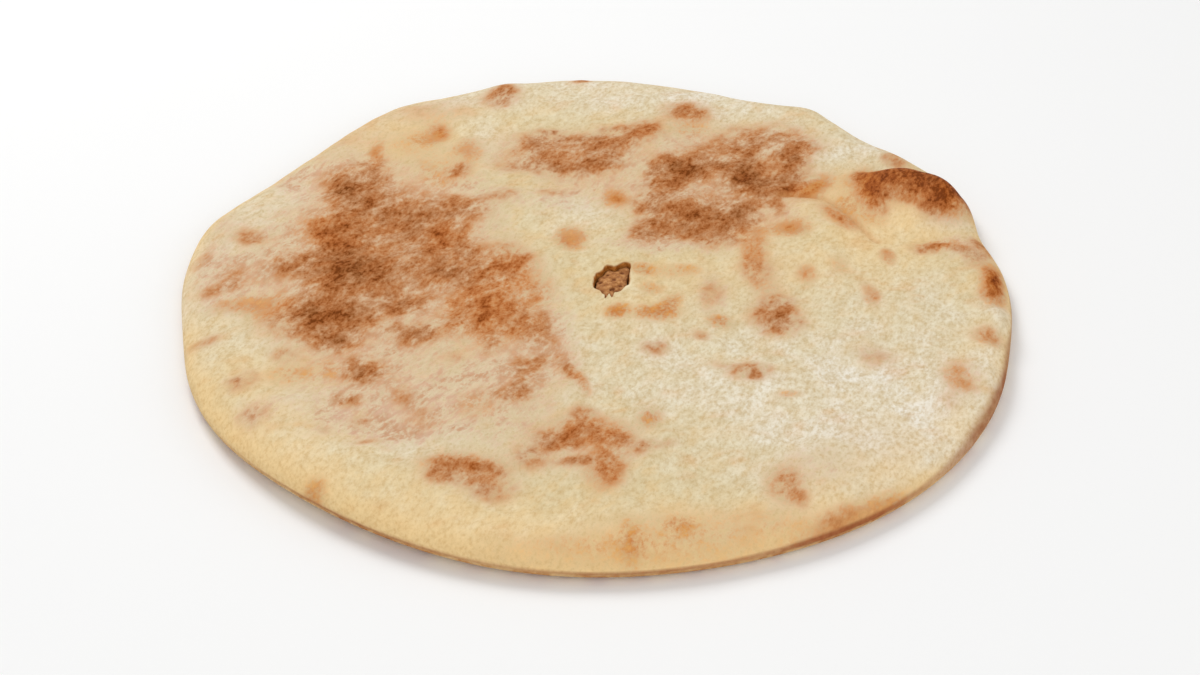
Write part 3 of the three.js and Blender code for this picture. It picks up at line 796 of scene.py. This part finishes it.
# Painted shade in the fold's groove, slightly orange-brown.
FOLD = tone(196, 138, 82)
UNDERSIDE = tones((0.30, 224, 198, 152), (0.48, 216, 178, 122), (0.58, 192, 134, 78), (0.70, 156, 92, 44))
# The painted highlight on the vent's lip.
LIP_HIGHLIGHT = tone(242, 228, 192)
TORN = tones((0.35, 148, 86, 26), (0.65, 190, 124, 58))
GRIT_SHADE = ((0.34, (0.905, 0.85, 0.78, 1)), (0.50, (1, 1, 1, 1)), (0.66, (1.06, 1.07, 1.09, 1)))

# The paste's colours.
PASTE = tones((0.36, 148, 91, 43), (0.5, 178, 117, 61), (0.64, 202, 145, 88))
CRUMB = tone(206, 152, 104)
CRUMB_SHADE = tone(128, 76, 36)
# Painted shade in the paste's pits.
PIT = tone(122, 66, 20)
PASTE_SHADE = tone(132, 78, 32)

# The floor's colour, and how rough the crust is: plainly, and where the ear shines.
FLOOR = (0.92, 0.92, 0.915, 1)
PLAIN_ROUGHNESS = 0.85
SHINY_ROUGHNESS = 0.58


class Finish:
    """A material and the nodes that lead to its shader.

    Every method that adds a node returns its output. The functions below call a finish f.
    """

    def __init__(self, name):
        self.material = bpy.data.materials.new(name)
        self.material.use_nodes = True
        self.nodes = self.material.node_tree.nodes
        self.links = self.material.node_tree.links
        self.shader = self.nodes["Principled BSDF"]
        self.place = self.nodes.new("ShaderNodeTexCoord").outputs["Object"]

    def put(self, socket, value):
        """Links an output to a socket, or sets the socket's own value."""
        if isinstance(value, bpy.types.NodeSocket):
            self.links.new(value, socket)
        else:
            socket.default_value = value

    def field(self, name):
        """A value kept at the mesh's points."""
        node = self.nodes.new("ShaderNodeAttribute")
        node.attribute_name = name
        return node.outputs["Fac"]

    def noise(self, size, detail=3.0, roughness=0.6, length=1.0, turn=0.0):
        """Noise of about a size in millimetres, drawn out to some times its length in a direction."""
        node = self.nodes.new("ShaderNodeTexNoise")
        node.inputs["Scale"].default_value = 1 / (size * MILLIMETRE)
        node.inputs["Detail"].default_value = detail
        node.inputs["Roughness"].default_value = roughness
        mapping = self.nodes.new("ShaderNodeMapping")
        mapping.vector_type = "TEXTURE"
        mapping.inputs["Rotation"].default_value = (0, 0, math.radians(turn))
        mapping.inputs["Scale"].default_value = (length, 1, 1)
        self.links.new(self.place, mapping.inputs["Vector"])
        self.links.new(mapping.outputs["Vector"], node.inputs["Vector"])
        return node.outputs["Fac"]

    def maths(self, operation, first, second, clamp=False):
        """One operation on two values, held between 0 and 1 if clamped."""
        node = self.nodes.new("ShaderNodeMath")
        node.operation = operation
        node.use_clamp = clamp
        self.put(node.inputs[0], first)
        self.put(node.inputs[1], second)
        return node.outputs[0]

    def plus(self, first, second, clamp=False):
        """The sum of two values."""
        return self.maths("ADD", first, second, clamp)

    def times(self, first, second, clamp=False):
        """The product of two values."""
        return self.maths("MULTIPLY", first, second, clamp)

    def weighted(self, *parts):
        """The sum of the values in parts of (value, weight), each times its weight."""
        total = self.times(*parts[0])
        for value, weight in parts[1:]:
            total = self.plus(total, self.times(value, weight))
        return total

    def stretch(self, value, before, after=(0.0, 1.0), curve="SMOOTHSTEP"):
        """A value taken from one range to another, and held at its ends."""
        node = self.nodes.new("ShaderNodeMapRange")
        node.interpolation_type = curve
        self.put(node.inputs["Value"], value)
        node.inputs["From Min"].default_value, node.inputs["From Max"].default_value = before
        node.inputs["To Min"].default_value, node.inputs["To Max"].default_value = after
        return node.outputs["Result"]

    def swing(self, noise, usual=(0.3, 0.7)):
        """Noise taken evenly from its usual range to -1 and 1."""
        return self.stretch(noise, usual, (-1.0, 1.0), "LINEAR")

    def blend(self, share, first, second, mode="MIX"):
        """Two colours mixed by a share."""
        node = self.nodes.new("ShaderNodeMix")
        node.data_type = "RGBA"
        node.blend_type = mode
        self.put(node.inputs["Factor"], share)
        self.put(node.inputs["A"], first)
        self.put(node.inputs["B"], second)
        return node.outputs["Result"]

    def ramp(self, value, stops):
        """A colour by value, from stops of (place, colour)."""
        node = self.nodes.new("ShaderNodeValToRGB")
        elements = node.color_ramp.elements
        while len(elements) < len(stops):
            elements.new(0.5)
        for element, (place, colour) in zip(elements, stops):
            element.position = place
            element.color = colour
        self.put(node.inputs["Fac"], value)
        return node.outputs["Color"]

    def roughen(self, height, distance, strength, before=None):
        """A bump of some height in millimetres, over the bump before it if there is one."""
        node = self.nodes.new("ShaderNodeBump")
        node.inputs["Strength"].default_value = strength
        node.inputs["Distance"].default_value = distance * MILLIMETRE
        self.put(node.inputs["Height"], height)
        if before is not None:
            self.links.new(before, node.inputs["Normal"])
        return node.outputs["Normal"]


class CrustNoises:
    """The noises that the crust's colours share, from fine grit to broad drift, and their swings."""

    def __init__(self, f):
        fibres = f.noise(1.8, roughness=0.62, length=2.6, turn=52)
        self.grit = f.noise(1.4, roughness=0.66, length=1.4, turn=70)
        self.mottle = f.noise(4.2, length=1.4, turn=65)
        self.blotch = f.noise(7.5, length=1.6, turn=50)
        self.drift = f.noise(16.0, roughness=0.5)
        self.fibre_swing = f.swing(fibres, (0.32, 0.68))
        self.grit_swing = f.swing(self.grit)
        self.mottle_swing = f.swing(self.mottle)
        self.blotch_swing = f.swing(self.blotch)


def plain_dough(f, noises):
    """Cream dough with warmer blotches, then golden areas, then floury ones."""
    cream = f.ramp(noises.mottle, CREAM)
    cream = f.blend(f.stretch(noises.blotch, (0.46, 0.68), (0, 0.5)), cream, CREAM_BLOTCH)
    golden_share = f.times(f.field("golden"), f.stretch(noises.drift, (0.35, 0.6), (0.6, 1.15)), clamp=True)
    colour = f.blend(golden_share, cream, f.ramp(noises.mottle, GOLDEN))
    floury_share = f.times(f.field("floury"), f.stretch(noises.drift, (0.60, 0.38), (0.55, 1.0)), clamp=True)
    dusted = f.weighted((noises.grit, 0.5), (noises.mottle, 0.5))
    return f.blend(floury_share, colour, f.ramp(dusted, FLOUR))


def with_veils(f, noises, colour):
    """Flour where veils lie, and over it the veils, broken up by the swings of grit, fibres and mottle."""
    field = f.field("veil")
    stir = f.weighted((noises.grit_swing, 0.42), (noises.fibre_swing, 0.26), (noises.mottle_swing, 0.34))
    veil = f.plus(field, f.times(stir, f.stretch(field, (0.0, 0.5))))
    colour = f.blend(f.stretch(field, (0.1, 0.6), (0, 0.45)), colour, FLOUR_IN_VEIL)
    return f.blend(f.stretch(veil, (0.12, 0.92), (0, 0.95)), colour, f.ramp(noises.blotch, VEIL))


def with_freckles(f, colour):
    """Freckles where their noise is high."""
    freckles = f.noise(8.0, detail=2.0, roughness=0.5, length=1.5, turn=15)
    return f.blend(f.stretch(freckles, (0.55, 0.80), (0, 0.4)), colour, FRECKLE)


def with_orange_spots(f, noises, colour):
    """Orange spots, dappled by the swings of grit and mottle."""
    field = f.field("orange")
    dapple = f.plus(noises.grit_swing, noises.mottle_swing)
    orange = f.plus(field, f.times(dapple, f.stretch(field, (0.0, 0.4), (0, 0.30))))
    return f.blend(f.stretch(orange, (-0.05, 0.85), (0, 0.95)), colour, f.ramp(noises.mottle, ORANGE))


def with_browning(f, noises, colour):
    """Browned places: broad swings shape them, fine ones grain them, and they tend to dull or warm brown.

    Returns the colour, and the browning that the shine also needs.
    """
    field = f.field("browned")
    near = f.stretch(field, (0.0, 0.5))
    broad = f.weighted((noises.blotch_swing, 0.21), (noises.mottle_swing, 0.17))
    fine = f.weighted((noises.grit_swing, 0.25), (noises.fibre_swing, 0.05))
    browned = f.plus(field, f.times(f.plus(broad, fine), near))
    spread = f.plus(field, f.times(f.plus(broad, f.times(fine, 0.3)), near))
    warmth = f.plus(f.stretch(noises.blotch, (0.38, 0.62), (0.1, 0.6)), f.field("orange"), clamp=True)
    brown = f.blend(warmth, f.ramp(browned, DULL_BROWN), f.ramp(browned, WARM_BROWN))
    colour = f.blend(f.stretch(spread, (-0.06, 0.50)), colour, brown)
    toasted = f.stretch(f.field("orange"), (0.6, 1.0), (0, 0.8))
    return f.blend(toasted, colour, TOASTED_TINT, "MULTIPLY"), browned


def with_rim(f, noises, colour):
    """The turned-down rim, golden and lightened with painted bounced light, less where it is floury or
    marked, then the foot line of browned crust and painted shade, and the fold's painted shade.
    """
    uneven = f.stretch(noises.mottle, (0.3, 0.7), (0.45, 0.75))
    turned_down = f.times(f.field("turned_down"), uneven, clamp=True)
    turned_down = f.times(turned_down, f.stretch(f.field("floury"), (0.3, 0.9), (1.0, 0.5)))
    marked = f.maths("MAXIMUM", f.field("browned"), f.field("orange"))
    turned_down = f.times(turned_down, f.stretch(marked, (0.1, 0.6), (1.0, 0.3)))
    # Golden rim, lightened with painted bounced light.
    colour = f.blend(turned_down, colour, GOLDEN_RIM_AND_BOUNCED_LIGHT)
    # Browned foot crust with painted shade of the side wall and the gap beneath.
    line = f.times(f.field("foot_brown_and_shade"), f.stretch(noises.mottle, (0.35, 0.65), (0.8, 1.0)), clamp=True)
    colour = f.blend(line, colour, FOOT_BROWN_AND_SHADE)
    # Painted shade in the fold's groove.
    return f.blend(f.times(f.field("fold"), 0.45), colour, FOLD)


def with_underside_and_vent(f, noises, colour):
    """The freckled underside, the painted highlight on the vent's lip and the torn crust in the vent."""
    freckles = f.noise(7.0, detail=4.0)
    colour = f.blend(f.field("underside"), colour, f.ramp(freckles, UNDERSIDE))
    # The painted highlight on the vent's lip.
    colour = f.blend(f.times(f.field("lip_highlight"), 0.8), colour, LIP_HIGHLIGHT)
    return f.blend(f.field("torn"), colour, f.ramp(noises.grit, TORN))


def crust_finish():
    """Baked dough: colours laid on one over the other, all shaded by grit, with a shine on the ear."""
    f = Finish("baked_crust")
    noises = CrustNoises(f)
    colour = plain_dough(f, noises)
    colour = with_veils(f, noises, colour)
    colour = with_freckles(f, colour)
    colour = with_orange_spots(f, noises, colour)
    colour, browned = with_browning(f, noises, colour)
    colour = with_rim(f, noises, colour)
    colour = with_underside_and_vent(f, noises, colour)
    colour = f.blend(1.0, colour, f.ramp(noises.grit, GRIT_SHADE), "MULTIPLY")
    f.put(f.shader.inputs["Base Color"], colour)

    shine = f.times(f.field("ear"), f.stretch(browned, (0.3, 0.9)), clamp=True)
    rough = f.stretch(shine, (0.0, 1.0), (PLAIN_ROUGHNESS, SHINY_ROUGHNESS))
    f.put(f.shader.inputs["Roughness"], f.plus(rough, f.times(noises.grit_swing, 0.07)))
    f.shader.inputs["Specular IOR Level"].default_value = 0.07

    coarse = f.roughen(noises.grit, 0.6, 0.5)
    fine = f.roughen(f.noise(0.8), 0.2, 0.5, coarse)
    f.put(f.shader.inputs["Normal"], fine)
    return f.material


def paste_finish():
    """Bean paste: pinkish-tan crumbs, brown between them, and painted shade in the pits and towards the
    vent's wall.
    """
    f = Finish("crumbly_bean_paste")
    grit = f.noise(0.6, detail=4.0)
    mottle = f.noise(1.8, roughness=0.55)
    colour = f.blend(f.times(f.field("crumb"), 0.5), f.ramp(mottle, PASTE), CRUMB)
    colour = f.blend(f.stretch(grit, (0.5, 0.32), (0, 0.45)), colour, CRUMB_SHADE)
    # Painted shade in the pits.
    colour = f.blend(f.stretch(f.field("pit_shade"), (0.12, 0.8), (0, 0.95)), colour, PIT)
    colour = f.blend(f.times(f.field("shaded"), 0.5), colour, PASTE_SHADE)
    f.put(f.shader.inputs["Base Color"], colour)
    f.shader.inputs["Roughness"].default_value = 0.75
    f.shader.inputs["Specular IOR Level"].default_value = 0.35
    f.put(f.shader.inputs["Normal"], f.roughen(grit, 0.15, 0.7))
    return f.material


def floor_finish():
    """A plain pale floor."""
    f = Finish("pale_floor")
    f.shader.inputs["Base Color"].default_value = FLOOR
    f.shader.inputs["Roughness"].default_value = 0.9
    f.shader.inputs["Specular IOR Level"].default_value = 0.1
    return f.material


def make_floor(half):
    """A flat square of some half width in metres, far wider than the bread."""
    corners = [(-half, -half, 0), (half, -half, 0), (half, half, 0), (-half, half, 0)]
    mesh = bpy.data.meshes.new("floor")
    mesh.from_pydata(corners, [], [(0, 1, 2, 3)])
    return put_in_scene("floor", mesh)


def soft_box(name, place, size, watts):
    """A square light that looks at the bread."""
    lamp = bpy.data.lights.new(name, "AREA")
    lamp.shape = "SQUARE"
    lamp.size = size
    lamp.energy = watts
    holder = put_in_scene(name, lamp)
    x, y, z = place
    holder.location = place
    holder.rotation_euler = (math.atan2(math.hypot(x, y), z), 0, math.atan2(y, x) + math.pi / 2)


crust = make_crust()
crust.data.materials.append(crust_finish())
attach(crust, "root")
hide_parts("dough")

paste = make_paste()
paste.data.materials.append(paste_finish())
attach(paste, "root")
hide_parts("bean_filling")

floor = make_floor(half=6.0)
floor.data.materials.append(floor_finish())

# Soft light from the far left, weaker light from the near side and the right, and a pale surround.
soft_box("key", place=(-0.55, 0.75, 1.15), size=0.7, watts=10.4)
soft_box("fill", place=(0.1, -1.3, 0.9), size=1.2, watts=7.6)
soft_box("side", place=(1.3, -0.3, 0.6), size=0.9, watts=2.85)
surround = bpy.data.worlds.new("surround")
surround.use_nodes = True
surround.node_tree.nodes["Background"].inputs["Color"].default_value = (1, 1, 1, 1)
surround.node_tree.nodes["Background"].inputs["Strength"].default_value = 0.49
bpy.context.scene.world = surround
bpy.context.scene.view_settings.view_transform = "Standard"

# The camera stands at the near side and looks down at the bread.
camera = bpy.data.cameras.new("camera")
camera.lens = 78.66
camera.sensor_width = 36
viewer = put_in_scene("camera", camera)
viewer.location = (0.0018, -0.7789, 0.5450)
viewer.rotation_euler = (math.radians(54.4), 0, 0)
bpy.context.scene.camera = viewer
